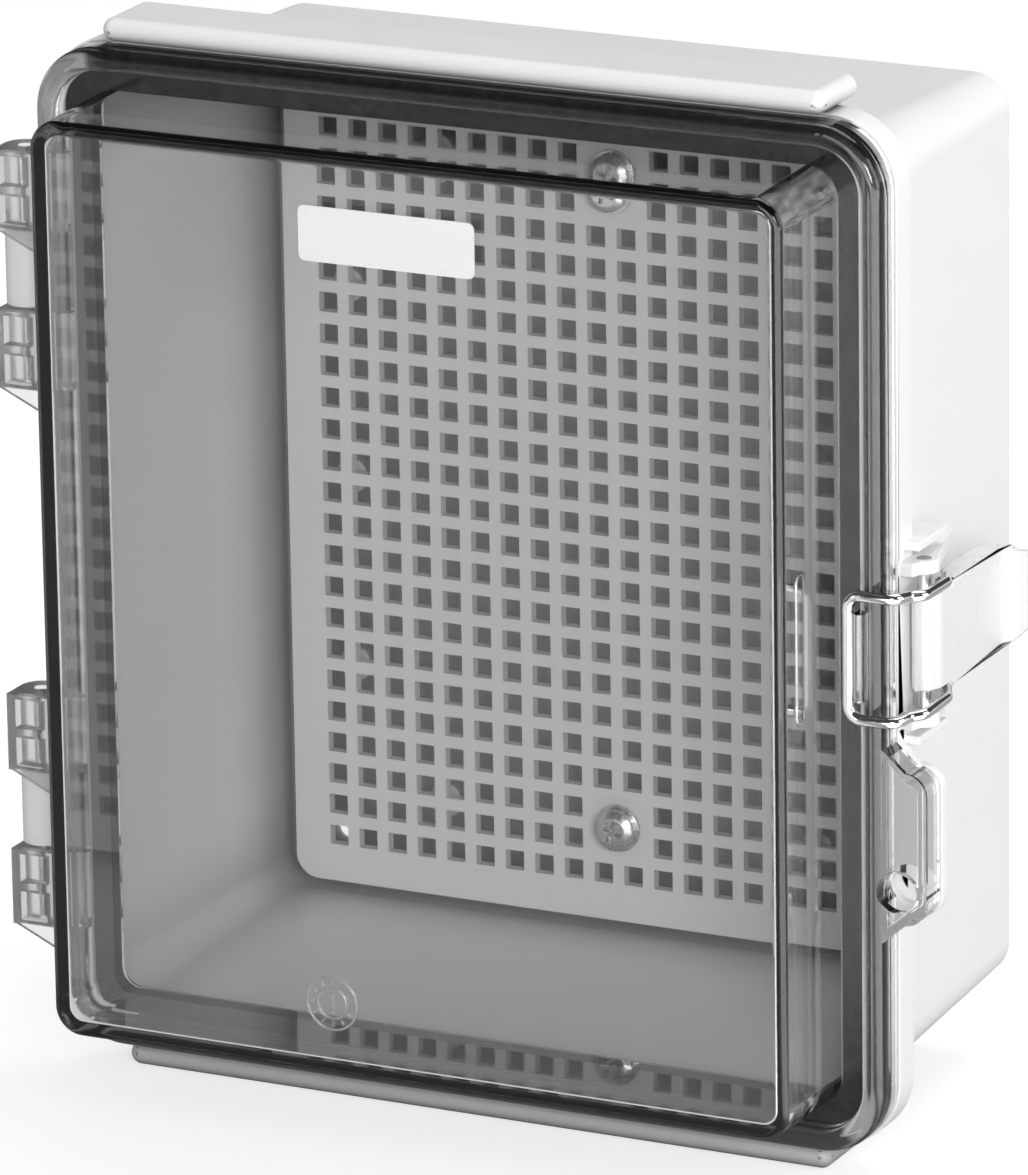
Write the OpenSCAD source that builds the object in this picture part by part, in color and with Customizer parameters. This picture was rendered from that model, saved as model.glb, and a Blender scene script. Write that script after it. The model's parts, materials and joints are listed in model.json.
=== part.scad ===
// Hinged wall enclosure: moulded base tub, clear raised cover on two pin hinges,
// wire-bail draw latch, padlock ears and a perforated mounting plate.
// X is to the right, the cover faces -Y and Z is up. The origin is the centre of
// the back face, which lies on the wall. "Depth" is the distance out from the wall.

/* [Enclosure] */
// Width of the cover outline
case_w = 200; // [180:1:260]
// Height of the cover outline
case_h = 228; // [200:1:300]
// Depth from the wall to the front of the window
case_d = 120; // [116:1:160]
// Depth from the wall to the parting line between base and cover
parting_d = 87.5; // [80:0.5:92]
// Corner radius of the cover outline
case_r = 15; // [13:0.5:20]

/* [Base tub] */
// Wall thickness of the tub
tub_wall = 3; // [2:0.1:4]
// Thickness of the tub floor
floor_t = 3; // [2:0.1:5]
// How far the tub wall is set in from the cover outline
tub_inset = 7; // [6:0.5:9]
// Corner radius of the tub at the rim
tub_r = 12; // [9:0.5:16]
// Draft of each tub side between rim and floor
tub_draft = 3.7; // [1:0.1:5]
// Rounding of the edge round the back face
tub_edge_r = 3; // [1:0.25:4]
// How far the rim stands proud of the cover outline
rim_proud = 0.5; // [0.2:0.1:1.5]
// Depth of the rim skirt behind the parting line
rim_skirt_d = 7.5; // [5:0.5:12]
// Thickness of the rim plate and skirt
rim_t = 3; // [2:0.1:4]

/* [Rain strips] */
// Length of each strip
strip_l = 171; // [120:1:176]
// Thickness of each strip
strip_t = 5.3; // [3:0.1:7]
// How far each strip reaches in front of the parting line
strip_front = 4.5; // [2:0.25:6]
// Size of each strip from front to back
strip_depth = 18; // [12:0.5:24]
// Thickness of the web behind each strip
web_t = 3.2; // [2:0.1:4]

/* [Cover] */
// Thickness of the clear plastic
cover_t = 3; // [2:0.1:3.5]
// How far the window's side walls are set in from the cover outline
window_inset = 10.8; // [10.2:0.1:13]
// How far the window's top and bottom walls are set in from the cover outline
window_inset_z = 9.6; // [9.2:0.1:13]
// Corner radius of the window where it leaves the flange
window_r = 7.2; // [5:0.1:10]
// Draft of each window side
window_draft = 0.8; // [0.4:0.1:2]
// Rounding of the edge round the window front
window_edge_r = 1.6; // [1:0.1:2.5]
// Rounding of the edge round the inside of the window front
window_in_edge_r = 0.6; // [0.4:0.1:1]
// Width of the raised bead round the flange
bead_w = 5.3; // [4:0.1:6]
// Height of the bead above the flange
bead_h = 3.5; // [2.5:0.1:4]
// Rounding of the bead
bead_r = 2.2; // [1:0.1:2.4]
// Thickness of the skirt under the bead
skirt_t = 2.3; // [1.5:0.1:3]

/* [Gasket] */
// Thickness of the foam gasket
gasket_t = 2; // [1.5:0.1:3]
// Gap between the gasket and the skirt of the cover
gasket_gap = 1.4; // [0.2:0.1:1.6]
// Distance of the gasket from the window opening
gasket_lip = 2.5; // [1.5:0.1:3.5]
// Gap between the cover skirt and the rim when shut
shut_gap = 0.3; // [0.2:0.05:0.6]

/* [Hinges] */
// Distance of each hinge centre from the top or bottom of the outline
hinge_inset = 52; // [44:1:60]
// Height of each knuckle
knuckle_h = 18; // [12:0.5:20]
// Outer radius of the knuckles
knuckle_r = 5; // [4.5:0.1:5.4]
// Distance of the hinge axis from the cover outline
hinge_out = 6.5; // [6:0.1:8]
// Distance of the hinge axis in front of the parting line
hinge_front = 1; // [0.5:0.25:1.5]
// How far the cover knuckles sit behind the top of the bead
knuckle_set = 0.5; // [0.2:0.1:1]
// Gap between neighbouring knuckles
knuckle_gap = 0.4; // [0.2:0.05:0.8]
// Radius of the hinge pins
hinge_pin_r = 1.5; // [1:0.1:2]
// How far the ends of each hinge pin lie inside the knuckles
pin_short = 1; // [0.5:0.1:2]
// Running clearance round every pin
pin_clear = 0.05; // [0.02:0.01:0.1]
// Size across each square pocket in a cover knuckle
pocket_w = 6.6; // [5:0.1:7]
// Distance of the pockets from the hinge axis, towards the cover
pocket_in = 0.4; // [0:0.1:0.6]
// Depth of the pockets
pocket_d = 2.6; // [1:0.1:3]
// Height of the gusset below each cover knuckle
gusset_h = 5.5; // [3:0.5:7]
// Thickness of the gusset
gusset_t = 1.5; // [1:0.1:1.6]

/* [Latch] */
// Height of the latch centre
latch_z = -0.5; // [-6:0.5:6]
// Radius of the bail wire
wire_r = 1.25; // [1:0.05:1.4]
// Distance of the bail arms from the latch centre
arm_z = 13.7; // [12.6:0.1:14]
// How far the front bar of the bail is set in from the cover outline
bar_inset = 6.5; // [6.2:0.1:6.8]
// Height of the bar above the bead
bar_clear = 0.75; // [0.4:0.05:1]
// Gap between the bar and the catch ridge
catch_gap = 0.15; // [0.1:0.05:0.3]
// How far the arms bow out past the bail pivot
arm_bow = 2.9; // [2.6:0.1:3.4]
// How deep the ends of the bail reach into the lever
stub_l = 4.6; // [3:0.1:6]
// Gap past each end of the bail in its hole
stub_gap = 0.4; // [0.2:0.1:1]
// Radius of the bends in the bail
bail_bend_r = 3.5; // [3:0.25:3.75]
// Half the height of the lever nose
nose_half_h = 10.6; // [8:0.1:11]
// Radius of the lever barrel round its pivot
barrel_r = 2.7; // [2.6:0.1:3]
// Distance of the lever pivot outside the cover outline
pivot_out = 3.7; // [3.6:0.1:5]
// Distance of the lever pivot behind the parting line
pivot_back = 6.2; // [5:0.1:7]
// Distance of the bail pivot behind the lever pivot
bail_back = 8.3; // [7.5:0.1:10]
// Distance of the bail pivot outside the lever pivot
bail_out = 1.3; // [1:0.1:2]
// Radius of the lever pivot pin
pivot_pin_r = 1.5; // [1.2:0.1:2]
// Thickness of the lever plate
lever_t = 2.4; // [1.8:0.1:3]
// Distance of the lever's outer face from the bail pivot
lever_cover = 2.2; // [2.2:0.1:3]
// Radius of the round nose of the lever
nose_r = 5; // [4.5:0.1:6]
// How much the plate of the lever stands past the nose at each end
plate_step = 1; // [0.4:0.1:1]
// Length of the straight lever plate behind the bail pivot
lever_l = 23.5; // [14:0.5:26]
// Radius of the bend that turns the tip outward
tip_r = 4; // [3:0.25:6]
// Length of the straight end of the tip
tip_l = 0.8; // [0.5:0.1:4]
// How far the side flanges reach in from the outer face
flange_in = 6; // [5:0.1:8]
// Thickness of the side flanges
flange_t = 1.8; // [1.2:0.1:2.4]
// Half height of the catch ridge on the cover
catch_half_h = 9.75; // [7:0.25:9.75]
// Width of the catch ridge
catch_w = 2.2; // [1.8:0.1:2.4]
// How far the catch ridge stands in front of the bead
catch_h = 3; // [2:0.25:3.4]
// Thickness of the lugs that hold the lever pin
lug_t = 3; // [2:0.25:4]
// Radius of each lug round the pin
lug_r = 3.4; // [3:0.1:3.8]
// Gap between each bail arm and the lug beside it
lug_gap = 0.55; // [0.4:0.05:1]
// How far the lugs run back along the tub behind the pin
lug_run = 24; // [16:1:30]
// Distance of the guard ribs from the latch centre
guard_z = 21.5; // [20:0.5:24]
// How far the guard ribs stand out from the cover outline
guard_out = 4; // [2:0.5:6]
// Length of the guard ribs behind the rim face
guard_l = 18; // [10:1:24]
// Thickness of the guard ribs
guard_t = 2; // [1.5:0.1:3]

/* [Padlock ears] */
// Height of the ear centre
ear_z = -43; // [-50:0.5:-42]
// Length of the ear along the side
ear_l = 34; // [30:1:40]
// Length of the sloped shoulder at each end of the ear
ear_shoulder = 4.5; // [3:0.5:6]
// How far the ear stands out from the cover outline
ear_out = 10; // [8:0.5:13]
// Radius of the padlock hole
padlock_r = 4.5; // [3:0.1:5]
// Distance of the padlock hole outside the cover outline
padlock_out = 3.2; // [2.8:0.1:5]
// Height of the padlock hole
padlock_z = -53; // [-56:0.5:-48]
// Corner radius of the ear
ear_r = 5; // [3.5:0.25:7]
// How far the cover ear's face sits behind the top of the bead
ear_set = 1; // [0.5:0.1:2]
// Extra radius of the padlock hole behind the face of the base ear
padlock_relief = 1; // [0.5:0.1:1.5]
// Thickness of the ear's face and skirt
ear_t = 2.5; // [2:0.1:3]

/* [Mounting plate] */
// Hole pitch of the plate
pitch = 7.4; // [7:0.1:7.5]
// Size across each square hole
hole_w = 4.6; // [3:0.1:5]
// Least distance from the outer holes' centres to the plate edge
plate_margin = 11; // [8:0.5:11]
// Gap between the plate and the tub at each side
plate_gap_x = 5; // [4:0.25:10]
// Gap between the plate and the tub at the top and bottom, before the plate's drop
plate_gap_z = 4.2; // [4:0.1:10]
// Plate corner radius
plate_r = 5.5; // [3:0.5:8]
// Plate thickness
plate_t = 2.5; // [2:0.1:4]
// Depth from the wall to the plate front
plate_d = 15; // [12:0.5:30]
// How far the plate sits below the middle
plate_drop = 2; // [0:0.5:3]
// Radius of the plain support posts
post_r = 4; // [3:0.1:5]
// Radius of the screw posts
screw_post_r = 5; // [4:0.1:6]

/* [Fasteners] */
// Radius of the screw shanks
screw_r = 2; // [1.5:0.1:2.5]
// Length of the screws under the head
screw_l = 10; // [8:0.5:11]
// Radial clearance of the screws in the plate
screw_clear = 0.25; // [0.1:0.05:0.5]
// Radius of the screw heads
head_r = 4.8; // [4:0.1:5.5]
// Height of the screw heads
head_h = 2.8; // [2:0.1:3.5]
// Height of the rounded crown of the heads
crown_h = 1; // [0.5:0.1:1.4]
// Radius of the flat on top of the heads
crown_r = 3.2; // [2:0.1:3.6]
// Turn of the cross recess
cross_turn = 20; // [0:5:45]
// Length of each slot of the cross recess
cross_l = 5.2; // [4:0.1:6]
// Width of each slot of the cross recess
cross_w = 1.1; // [0.8:0.1:1.4]
// Depth of the cross recess
cross_d = 1.6; // [1:0.1:1.8]
// Outer radius of the washers
washer_r = 5.5; // [5:0.1:6]
// Thickness of the washers
washer_t = 0.8; // [0.5:0.1:1.2]

/* [Wall holes] */
// Distance of the wall holes from the sides of the outline
wall_inset_x = 25; // [24:0.5:40]
// Distance of the wall holes from the top and bottom of the outline
wall_inset_z = 24; // [22:0.5:40]
// Radius of the wall holes
wall_hole_r = 2.6; // [2:0.1:3.5]
// Radius of the raised pad round each wall hole
wall_pad_r = 6; // [5:0.25:6]
// Height of the raised pads
wall_pad_h = 3; // [1:0.5:5]

/* [Label] */
// Width of the blank label
label_w = 41.5; // [20:0.5:60]
// Height of the blank label
label_h = 12.2; // [8:0.1:20]
// Place of the label centre across
label_x = -2.8; // [-40:0.1:40]
// Distance of the label centre below the top of the outline
label_drop = 28.4; // [20:0.1:60]
// Corner radius of the label
label_r = 1.5; // [0.5:0.1:3]
// Thickness of the label
label_t = 0.2; // [0.1:0.05:0.3]

/* [Hidden] */
$fn = 64;
eps = 0.01;
// how far a solid reaches into the one that carries it
bite = 1;
// how far a cutter reaches past a face
over = 1;
half_w = case_w / 2;
half_h = case_h / 2;
parting_y = -parting_d;
front_y = -case_d;

// corner centres shared by the cover outline and the rim
cx = half_w - case_r;
cz = half_h - case_r;
rim_u = case_r + rim_proud;
rim_half_w = cx + rim_u;
rim_half_h = cz + rim_u;

// tub: corner centres stay put while the radius shrinks with the draft
tub_cx = half_w - tub_inset - tub_r;
tub_cz = half_h - tub_inset - tub_r;
tub_back_r = tub_r - tub_draft;
seat_x = half_w - tub_inset - tub_wall / 2;
seat_z = half_h - tub_inset - tub_wall / 2;

// cover flange and window
flange_back_y = parting_y - gasket_t;
flange_y = flange_back_y - cover_t;
bead_y = flange_y - bead_h;
window_cx = half_w - window_inset - window_r;
window_cz = half_h - window_inset_z - window_r;
window_in_r = window_r - cover_t;

// gasket lies between the window opening and the skirt
gasket_out_u = case_r - skirt_t - gasket_gap;
gasket_in_r = window_in_r + gasket_lip;
gasket_in_w = window_cx + gasket_in_r;
gasket_in_h = window_cz + gasket_in_r;

// hinges
hinge_x = -half_w - hinge_out;
hinge_y = parting_y - hinge_front;
hinge_z = half_h - hinge_inset;
hinge_zs = [hinge_z, -hinge_z];
hinge_bore_r = hinge_pin_r + pin_clear;
knuckle_front_y = bead_y + knuckle_set;
hinge_pin_l = 3 * knuckle_h - 2 * pin_short;

// latch
pivot_x = half_w + pivot_out;
pivot_y = parting_y + pivot_back;
bail_x = pivot_x + bail_out;
bail_y = pivot_y + bail_back;
bar_x = half_w - bar_inset;
bar_y = bead_y - wire_r - bar_clear;
catch_x = bar_x + wire_r + catch_gap;
arm_out_x = bail_x + arm_bow;
lug_z = arm_z + wire_r + lug_gap;
bail_hole_r = wire_r + pin_clear;
bail_hole_end = nose_half_h - stub_l - stub_gap;
pivot_bore_r = pivot_pin_r + pin_clear;
lever_face_x = bail_x + lever_cover;
lever_x = lever_face_x - lever_t;
lever_end_y = bail_y + lever_l;
lever_back_y = lever_end_y + tip_r + lever_t;
lever_half_h = nose_half_h + plate_step;

// mounting plate
plate_y = -plate_d;
plate_back_y = plate_y + plate_t;
plate_w = 2 * (half_w - tub_inset - tub_draft - tub_wall - plate_gap_x);
plate_h = 2 * (half_h - tub_inset - tub_draft - tub_wall - plate_gap_z);
cols = even_count(plate_w);
rows = even_count(plate_h);
screw_cell = rows / 2 - 2;
screw_row = screw_cell * pitch;
screw_zs = [screw_row - plate_drop, -screw_row - plate_drop];
support_cells = [[cols / 2 - 1, 0], [cols / 2 - 1, rows / 4], [cols / 2 - 4, screw_cell]];

// screws and wall holes
screw_seat_y = plate_y - washer_t;
screw_tip_y = screw_seat_y + screw_l;
wall_x = case_w - 2 * wall_inset_x;
wall_z = case_h - 2 * wall_inset_z;
label_z = half_h - label_drop;

// even number of holes that fits along a plate side
function even_count(side) = 2 * floor(((side - 2 * plate_margin) / pitch + 1 + eps) / 2);

// ---------- shared shapes ----------

// rectangle with round corners, centred
module round_rect(hw, hh, r) {
    square([2 * (hw - r), 2 * hh], center = true);
    square([2 * hw, 2 * (hh - r)], center = true);
    for (sx = [-1, 1], sz = [-1, 1])
        translate([sx * (hw - r), sz * (hh - r)]) circle(r);
}

// flat plate in the XZ plane from depth y0 to y1
module slab(hw, hh, r, y0, y1) {
    translate([0, y1, 0]) rotate([90, 0, 0])
        linear_extrude(y1 - y0) round_rect(hw, hh, r);
}

// sweeps a profile (x = outward from the corner centres, y = depth) round the box
module around(ax, az) {
    for (s = [0, 1]) {
        mirror([s, 0, 0]) translate([ax, 0, -az]) linear_extrude(2 * az) children();
        mirror([0, 0, s]) translate([ax, 0, az]) rotate([0, -90, 0])
            linear_extrude(2 * ax) children();
        for (t = [0, 1])
            mirror([s, 0, 0]) mirror([0, 0, t]) translate([ax, 0, az])
                mirror([0, 1, 0]) rotate([90, 0, 0])
                    rotate_extrude(angle = 90) children();
    }
}

// solid box with round corners whose side follows a swept profile
module swept_block(ax, az, y0, y1) {
    around(ax, az) children();
    translate([-ax, y0, -az]) cube([2 * ax, y1 - y0, 2 * az]);
}

module cylinder_y(r, y0, y1) {
    translate([0, y0, 0]) rotate([-90, 0, 0]) cylinder(r = r, h = y1 - y0);
}

module cylinder_z(r, z0, z1) {
    translate([0, 0, z0]) cylinder(r = r, h = z1 - z0);
}

// ---------- base ----------

// side profile of the tub, drafted, with a round edge at the back
module tub_side(r_front, r_back, y1, edge) {
    edge_u = r_back + (r_front - r_back) * edge / parting_d;
    intersection() {
        polygon([[0, parting_y], [r_front, parting_y], [r_back, 0], [0, 0]]);
        union() {
            translate([0, parting_y - over]) square([r_front + over, y1 - edge - parting_y + over]);
            translate([0, parting_y]) square([edge_u - edge, y1 - parting_y]);
            translate([edge_u - edge, y1 - edge]) circle(edge);
        }
    }
}

module tub_shell() {
    difference() {
        union() {
            swept_block(tub_cx, tub_cz, parting_y, 0)
                tub_side(tub_r, tub_back_r, 0, tub_edge_r);
            slab(rim_half_w, rim_half_h, rim_u, parting_y, parting_y + rim_t);
            around(cx, cz) translate([rim_u - rim_t, parting_y]) square([rim_t, rim_skirt_d]);
        }
        translate([0, -eps, 0])
            swept_block(tub_cx, tub_cz, parting_y, -floor_t)
                tub_side(tub_r - tub_wall, tub_back_r - tub_wall, -floor_t, tub_edge_r);
    }
}

// strip above (or below) the rim that sheds rain past the parting line
module rain_strip() {
    r = strip_t / 2;
    y0 = parting_y - strip_front;
    y1 = y0 + strip_depth;
    x1 = strip_l / 2 - r;
    translate([0, 0, rim_half_h + r - eps]) {
        translate([-x1, y0 + r, -r]) cube([2 * x1, y1 - y0 - r, strip_t]);
        translate([0, y0 + r, 0]) rotate([0, 90, 0]) cylinder(r = r, h = 2 * x1, center = true);
        for (s = [-1, 1]) translate([s * x1, 0, 0]) {
            cylinder_y(r, y0 + r, y1);
            translate([0, y0 + r, 0]) sphere(r);
        }
    }
    // web that carries the back of the strip down to the tub wall
    translate([-x1, y1 - strip_t, seat_z])
        cube([2 * x1, web_t, rim_half_h + r - seat_z]);
}

module base_knuckle() {
    h = knuckle_h / 2 - knuckle_gap / 2;
    translate([hinge_x, hinge_y, 0]) cylinder_z(knuckle_r, -h, h);
    translate([hinge_x, parting_y, -h])
        cube([hinge_out + bite, hinge_y + knuckle_r - parting_y, 2 * h]);
}

module plate_post(r) {
    cylinder_y(r, plate_back_y, -floor_t + eps);
}

module latch_lugs() {
    y0 = parting_y + shut_gap;
    y1 = pivot_y + lug_run;
    for (s = [-1, 1]) translate([0, 0, latch_z + s * (lug_z + lug_t / 2) - lug_t / 2])
        linear_extrude(lug_t) {
            translate([pivot_x, pivot_y]) circle(lug_r);
            // the lug runs from the pin to the rim and back along the tub wall
            polygon([
                [seat_x, pivot_y], [half_w - rim_t, y0], [pivot_x, y0],
                [pivot_x + lug_r / sqrt(2), pivot_y + lug_r / sqrt(2)],
                [half_w, y1], [seat_x, y1]
            ]);
        }
}

module guard_ribs() {
    for (s = [-1, 1])
        translate([seat_x, parting_y + rim_t, latch_z + s * guard_z - guard_t / 2])
            cube([half_w + guard_out - seat_x, guard_l - rim_t, guard_t]);
}

// outline of an ear in the XZ plane: straight outer side, sloped shoulders
module ear_outline(out, grow) {
    a = ear_l / 2 + grow;
    r = ear_r + grow;
    x1 = half_w + out + grow;
    x0 = half_w - case_r;
    polygon([
        [x0, -a - ear_shoulder], [half_w, -a - ear_shoulder], [x1 - r, -a],
        [x1 - r, a], [half_w, a + ear_shoulder], [x0, a + ear_shoulder]
    ]);
    translate([x0, -a + r]) square([x1 - x0, 2 * (a - r)]);
    for (s = [-1, 1]) translate([x1 - r, s * (a - r)]) circle(r);
}

module ear_solid(out, grow, y0, y1) {
    translate([0, y1, ear_z]) rotate([90, 0, 0]) linear_extrude(y1 - y0) ear_outline(out, grow);
}

module padlock_hole(r, y0, y1) {
    translate([half_w + padlock_out, 0, padlock_z]) cylinder_y(r, y0, y1);
}

// part of the box outside the cover outline on the latch side
module right_of_outline(x) {
    translate([x, -2 * case_d, -case_h]) cube([case_w, 3 * case_d, 2 * case_h]);
}

module base_tub() {
    color([0.93, 0.94, 0.92]) difference() {
        union() {
            tub_shell();
            rain_strip();
            mirror([0, 0, 1]) rain_strip();
            for (z = hinge_zs) translate([0, 0, z]) base_knuckle();
            for (c = support_cells, sx = [-1, 1], sz = c[1] == 0 ? [1] : [-1, 1])
                translate([sx * c[0] * pitch, 0, sz * c[1] * pitch - plate_drop])
                    plate_post(post_r);
            for (z = screw_zs) translate([0, 0, z]) plate_post(screw_post_r);
            for (sx = [-1, 1], sz = [-1, 1])
                translate([sx * wall_x / 2, 0, sz * wall_z / 2])
                    cylinder_y(wall_pad_r, -floor_t - wall_pad_h, -floor_t + eps);
            latch_lugs();
            guard_ribs();
            intersection() {
                ear_solid(ear_out + rim_proud, 0, parting_y, parting_y + ear_t);
                right_of_outline(half_w - bite);
            }
        }
        for (z = hinge_zs) translate([hinge_x, hinge_y, z])
            cylinder_z(hinge_pin_r + pin_clear, -knuckle_h, knuckle_h);
        for (z = screw_zs) translate([0, 0, z])
            cylinder_y(screw_r + pin_clear, plate_back_y - over, screw_tip_y + over);
        for (sx = [-1, 1], sz = [-1, 1])
            translate([sx * wall_x / 2, 0, sz * wall_z / 2])
                cylinder_y(wall_hole_r, -floor_t - wall_pad_h - over, over);
        translate([pivot_x, pivot_y, latch_z])
            cylinder_z(pivot_bore_r, -lug_z - lug_t - over, lug_z + lug_t + over);
        padlock_hole(padlock_r, parting_y - over, parting_y + ear_t + over);
        // clears the rim skirt behind the ear
        padlock_hole(padlock_r + padlock_relief, parting_y + ear_t, parting_y + rim_skirt_d + over);
    }
}

// ---------- cover ----------

module bead_profile() {
    u0 = case_r - bead_w;
    translate([u0, bead_y + bead_r]) square([bead_w, bead_h - bead_r + eps]);
    translate([u0 + bead_r, bead_y]) square([bead_w - 2 * bead_r, bead_r]);
    for (u = [u0 + bead_r, case_r - bead_r]) translate([u, bead_y + bead_r]) circle(bead_r);
}

module window_side(r_front, r_back, y0, edge) {
    intersection() {
        polygon([[0, y0], [r_front, y0], [r_back, flange_back_y], [0, flange_back_y]]);
        union() {
            translate([0, y0 + edge]) square([r_back + over, flange_back_y - y0 - edge + over]);
            translate([0, y0]) square([r_front - edge, 2 * edge]);
            translate([r_front - edge, y0 + edge]) circle(edge);
        }
    }
}

module cover_knuckle(z0) {
    h = knuckle_h - knuckle_gap;
    translate([hinge_x, hinge_y, z0]) cylinder(r = knuckle_r, h = h);
    // block from the barrel to the side of the cover
    translate([hinge_x - knuckle_r, knuckle_front_y, z0])
        cube([knuckle_r, hinge_y - knuckle_front_y, h]);
    translate([hinge_x, knuckle_front_y, z0])
        cube([hinge_out + bite, parting_y - shut_gap - knuckle_front_y, h]);
    // sloped gusset below, clear of the base knuckle
    translate([0, knuckle_front_y + gusset_t, z0]) rotate([90, 0, 0]) linear_extrude(gusset_t)
        polygon([
            [hinge_x - knuckle_r + gusset_t / 2, eps], [-half_w + bite, eps],
            [-half_w + bite, -gusset_h]
        ]);
}

module knuckle_pockets(z0) {
    span = knuckle_h - knuckle_gap;
    for (k = [0, 1])
        translate([hinge_x - pocket_w / 2 + pocket_in, knuckle_front_y - over,
                   z0 + span * (1 + 2 * k) / 4 - pocket_w / 2])
            cube([pocket_w, pocket_d + over, pocket_w]);
}

// lower ends of the two cover knuckles of one hinge
function knuckle_ends(z) = [
    z + knuckle_h / 2 + knuckle_gap / 2, z - 3 * knuckle_h / 2 + knuckle_gap / 2
];

module catch_ridge() {
    r = catch_w / 2;
    translate([catch_x, bead_y - catch_h + r, latch_z - catch_half_h])
        cube([catch_w, catch_h - r + bite, 2 * catch_half_h]);
    translate([catch_x + r, bead_y - catch_h + r, latch_z])
        cylinder_z(r, -catch_half_h, catch_half_h);
}

module cover_ear() {
    y0 = bead_y + ear_set;
    intersection() {
        difference() {
            ear_solid(ear_out, 0, y0, parting_y - shut_gap);
            ear_solid(ear_out, -ear_t, y0 + ear_t, parting_y + over);
        }
        right_of_outline(half_w - bite);
    }
}

module cover() {
    color([0.75, 0.78, 0.8, 0.35]) difference() {
        union() {
            slab(half_w, half_h, case_r, flange_y, flange_back_y);
            around(cx, cz) bead_profile();
            around(cx, cz) translate([case_r - skirt_t, flange_back_y - eps])
                square([skirt_t, gasket_t - shut_gap + eps]);
            swept_block(window_cx, window_cz, front_y, flange_back_y)
                window_side(window_r - window_draft, window_r, front_y, window_edge_r);
            for (z = hinge_zs, z0 = knuckle_ends(z)) cover_knuckle(z0);
            catch_ridge();
            cover_ear();
        }
        swept_block(window_cx, window_cz, front_y + cover_t, flange_back_y + eps)
            translate([0, eps]) window_side(
                window_in_r - window_draft, window_in_r, front_y + cover_t, window_in_edge_r);
        for (z = hinge_zs, z0 = knuckle_ends(z)) {
            knuckle_pockets(z0);
            translate([hinge_x, hinge_y, z0]) cylinder_z(hinge_bore_r, -gusset_h, knuckle_h + over);
        }
        padlock_hole(padlock_r, bead_y - over, parting_y + over);
    }
}

module cover_gasket() {
    color([0.25, 0.26, 0.27]) difference() {
        slab(cx + gasket_out_u, cz + gasket_out_u, gasket_out_u, flange_back_y, parting_y);
        slab(gasket_in_w, gasket_in_h, gasket_in_r, flange_back_y - over, parting_y + over);
    }
}

module blank_label() {
    color([0.97, 0.97, 0.97]) translate([label_x, front_y, label_z]) rotate([90, 0, 0])
        linear_extrude(label_t) round_rect(label_w / 2, label_h / 2, label_r);
}

// ---------- hinge pins ----------

module hinge_pin(z) {
    color([0.75, 0.75, 0.77]) translate([hinge_x, hinge_y, z])
        cylinder_z(hinge_pin_r, -hinge_pin_l / 2, hinge_pin_l / 2);
}

// ---------- latch ----------

// quarter of a ring about the origin, towards +X and -Y
module quarter_ring(r_out, r_in) {
    difference() {
        intersection() {
            circle(r_out);
            translate([0, -r_out]) square(r_out);
        }
        circle(r_in);
    }
}

// lever seen from above, in the XY plane
module lever_outline() {
    nose_x = lever_face_x - nose_r;
    nose_y = pivot_y - barrel_r + nose_r;
    translate([pivot_x, pivot_y]) circle(barrel_r);
    // round nose from the barrel to the plate
    intersection() {
        translate([nose_x, nose_y]) quarter_ring(nose_r, nose_r - lever_t);
        translate([pivot_x - bite, nose_y - nose_r]) square(2 * nose_r);
    }
    translate([lever_x, nose_y - eps]) square([lever_t, lever_end_y - nose_y + 2 * eps]);
    translate([bail_x, bail_y]) circle(lever_cover);
    // tip turned outward
    translate([lever_face_x + tip_r, lever_end_y]) rotate([0, 0, 180])
        quarter_ring(tip_r + lever_t, tip_r);
    translate([lever_face_x + tip_r - eps, lever_end_y + tip_r]) square([tip_l, lever_t]);
}

// side flange of the lever, in the XY plane
module lever_flange_outline() {
    x0 = lever_face_x - flange_in;
    polygon([
        [lever_x, bail_y], [x0, bail_y + flange_in], [x0, lever_end_y],
        [x0 + flange_in / 2, lever_end_y + tip_r], [lever_x + bite, lever_end_y + tip_r],
        [lever_x + bite, bail_y]
    ]);
}

// lever seen from the side, in the YZ plane
module lever_side_outline() {
    y0 = pivot_y - barrel_r - over;
    y1 = bail_y - lever_cover / 2;
    translate([y0, -nose_half_h]) square([y1 - y0 + bite, 2 * nose_half_h]);
    polygon([
        [y1, -lever_half_h], [lever_back_y + over, -nose_half_h + plate_step],
        [lever_back_y + over, lever_half_h], [y1, lever_half_h]
    ]);
}

// lever seen from the front, in the XZ plane: the tip narrows outward
module lever_front_outline() {
    x1 = lever_face_x + tip_r + tip_l + over;
    polygon([
        [half_w, -lever_half_h], [lever_face_x, -lever_half_h],
        [x1, -lever_half_h / 2], [x1, nose_half_h],
        [lever_face_x + 2 * plate_step, nose_half_h],
        [lever_face_x + plate_step, lever_half_h], [half_w, lever_half_h]
    ]);
}

module latch_lever() {
    color([0.95, 0.95, 0.94]) translate([0, 0, latch_z]) difference() {
        intersection() {
            union() {
                translate([0, 0, -lever_half_h]) linear_extrude(2 * lever_half_h)
                    lever_outline();
                for (z = [-lever_half_h, lever_half_h - flange_t])
                    translate([0, 0, z]) linear_extrude(flange_t) lever_flange_outline();
            }
            // (y, z) outline pushed through along X
            rotate([90, 0, 90]) linear_extrude(case_w) lever_side_outline();
            // (x, z) outline pushed through along Y
            rotate([90, 0, 0]) linear_extrude(case_d) lever_front_outline();
        }
        translate([pivot_x, pivot_y, 0])
            cylinder_z(pivot_bore_r, -nose_half_h - over, nose_half_h + over);
        for (s = [0, 1]) mirror([0, 0, s]) translate([bail_x, bail_y, 0])
            cylinder_z(bail_hole_r, bail_hole_end, lever_half_h + over);
    }
}

module wire_x(x0, x1) {
    translate([x0, 0, 0]) rotate([0, 90, 0]) cylinder(r = wire_r, h = x1 - x0);
}

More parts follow.
